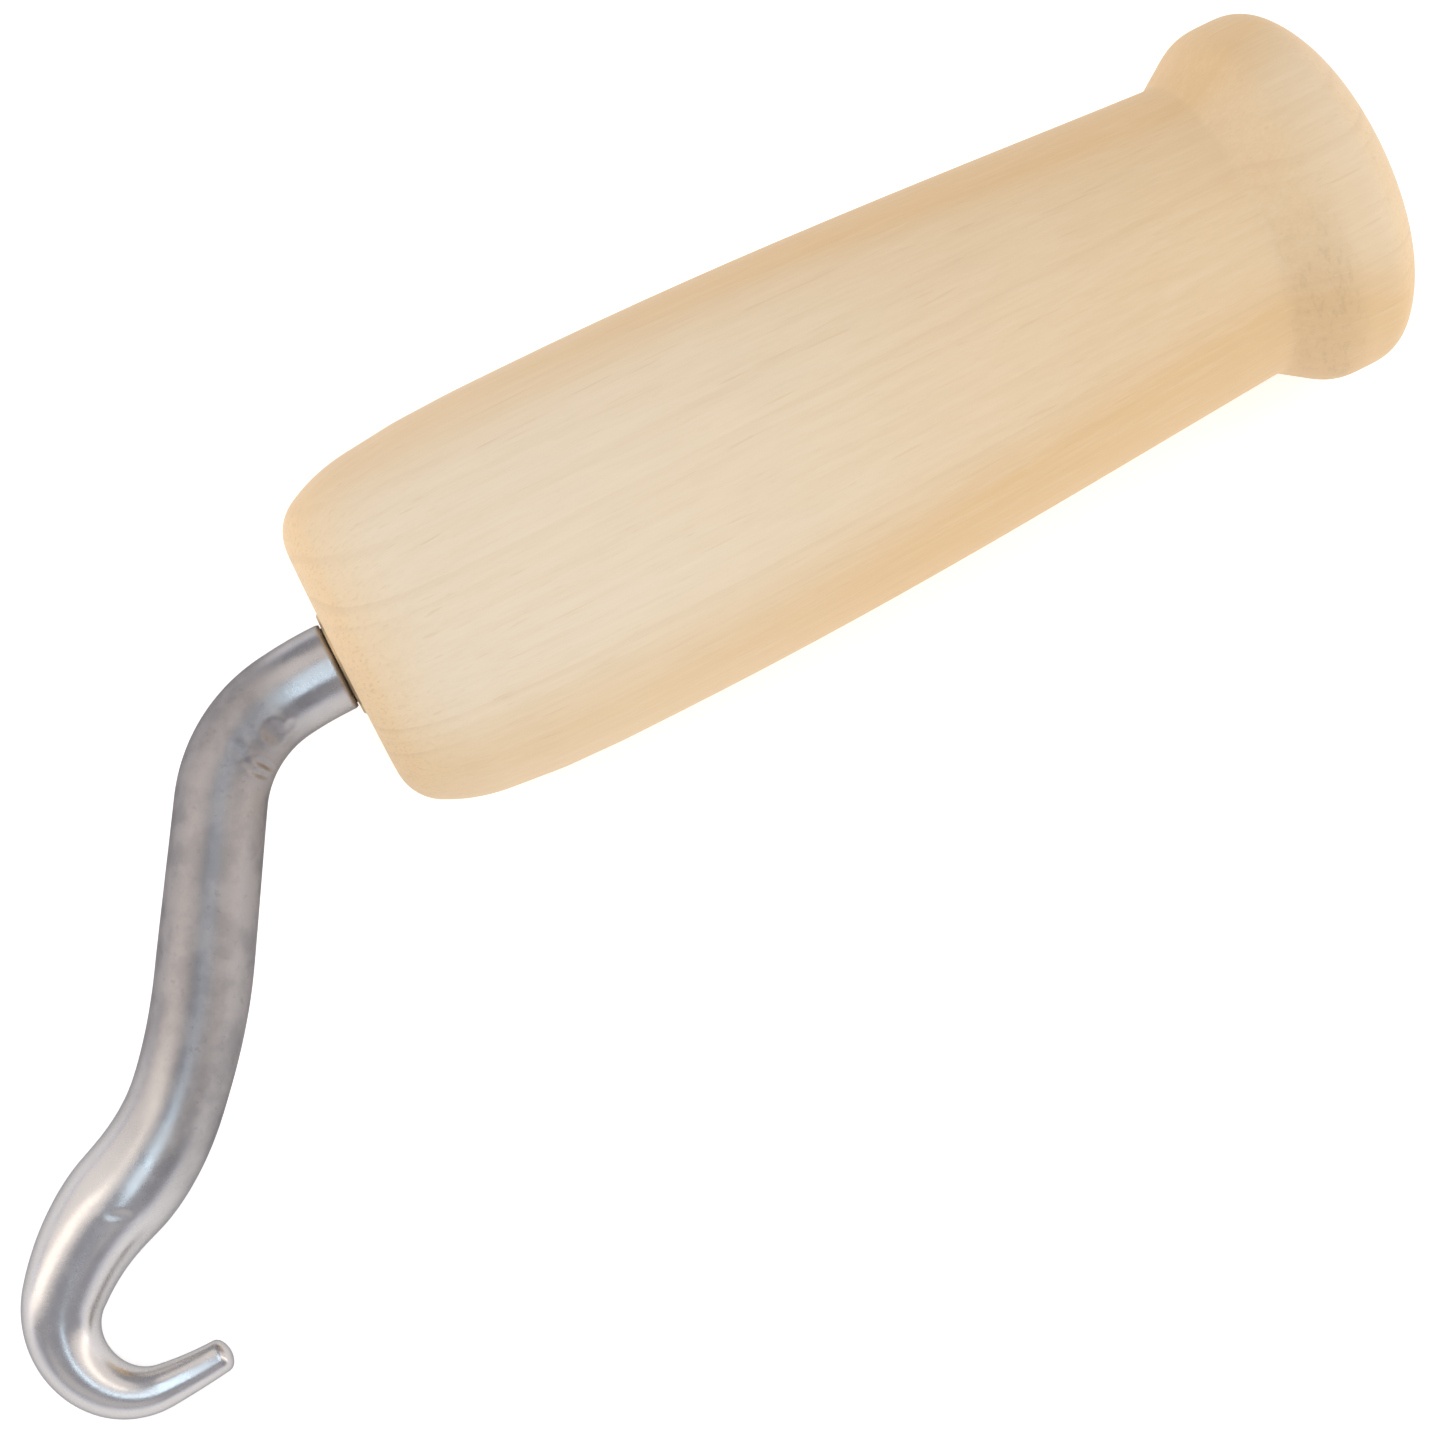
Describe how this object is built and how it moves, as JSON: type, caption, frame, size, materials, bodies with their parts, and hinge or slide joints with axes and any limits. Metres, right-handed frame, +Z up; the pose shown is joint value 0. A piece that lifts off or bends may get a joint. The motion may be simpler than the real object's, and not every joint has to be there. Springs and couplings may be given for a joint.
{
  "type": "wire twisting hook",
  "caption": "Cranked steel hook that turns freely in a turned wooden handle, for catching wire loops and twisting them tight.",
  "frame": {"origin": "on the surface the tool lies on, under the middle of its bounding box", "axes": "+X along the handle towards its butt, +Z up; the hook lies towards -X and -Y with its bowl on the surface"},
  "size_m": [0.1682, 0.0731, 0.038],
  "materials": {
    "handle_wood": "turned and sanded, unvarnished",
    "bush_bronze": "dull bronze",
    "hook_steel": "forged, satin, lightly tumbled",
    "washer_steel": "plain zinc washer"
  },
  "bodies": {
    "grip": {"handle": "handle_wood", "front_bush": "bush_bronze", "rear_bush": "bush_bronze"},
    "hook": {"hook_shank": "hook_steel", "rear_washer": "washer_steel"}
  },
  "joints": [
    {"name": "hook_spin", "type": "hinge", "parent": "grip", "child": "hook", "pos_m": [0, 0.01756, 0.019], "axis": [-1, 0, 0], "continuous": true}
  ]
}
